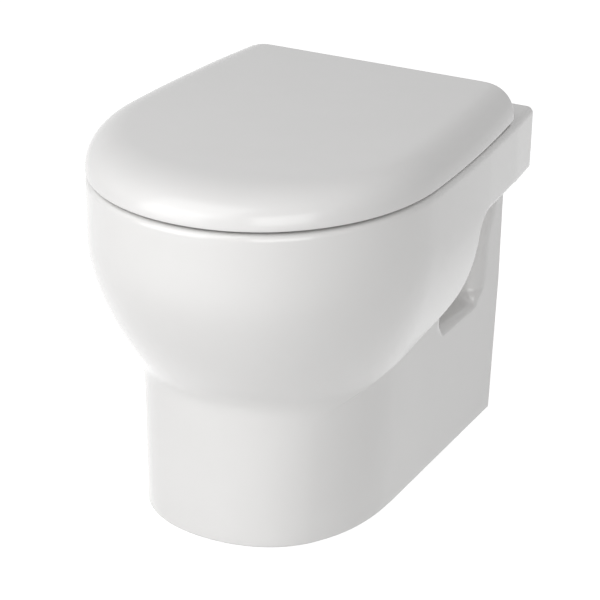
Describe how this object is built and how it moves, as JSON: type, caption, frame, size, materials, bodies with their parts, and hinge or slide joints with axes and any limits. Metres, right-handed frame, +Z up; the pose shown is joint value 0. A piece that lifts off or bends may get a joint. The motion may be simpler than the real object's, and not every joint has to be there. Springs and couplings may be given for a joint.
{
  "type": "wall hung toilet",
  "caption": "Wall hung toilet: a white ceramic pan with side recesses and a hinged, wrap-over seat and lid.",
  "frame": {"origin": "midway between the two fixing studs, on the wall face of the pan", "axes": "+X to the right seen from the front, +Y into the wall, +Z up"},
  "size_m": [0.36, 0.554, 0.409],
  "materials": {
    "ceramic": "gloss",
    "seat_plastic": "gloss",
    "hinge_chrome": "polished",
    "steel": "brushed",
    "damper_plastic": "satin",
    "white_plastic": "satin",
    "rubber": "matte",
    "buffer_rubber": "matte"
  },
  "bodies": {
    "pan": {"ceramic_pan": "ceramic", "hinge_base_left": "hinge_chrome", "hinge_base_right": "hinge_chrome", "hinge_pin_left": "steel", "hinge_pin_right": "steel", "hinge_gaskets": "rubber", "hinge_bolts": "steel", "hinge_cone_washers": "rubber", "hinge_wing_nuts": "white_plastic", "wall_studs": "steel", "stud_sleeves": "white_plastic", "stud_washers": "steel", "stud_nuts": "steel", "stud_covers": "white_plastic"},
    "seat": {"seat_ring": "seat_plastic", "seat_damper": "damper_plastic", "seat_bush": "damper_plastic", "seat_buffers": "buffer_rubber"},
    "lid": {"seat_lid": "seat_plastic", "lid_damper": "damper_plastic", "lid_bush": "damper_plastic", "lid_buffers": "buffer_rubber"}
  },
  "joints": [
    {"name": "seat_hinge", "type": "hinge", "parent": "pan", "child": "seat", "pos_m": [0, -0.057, 0.11], "axis": [-1, 0, 0], "range_deg": [0, 92]},
    {"name": "lid_hinge", "type": "hinge", "parent": "seat", "child": "lid", "pos_m": [0, -0.057, 0.11], "axis": [-1, 0, 0], "range_deg": [0, 93]}
  ]
}
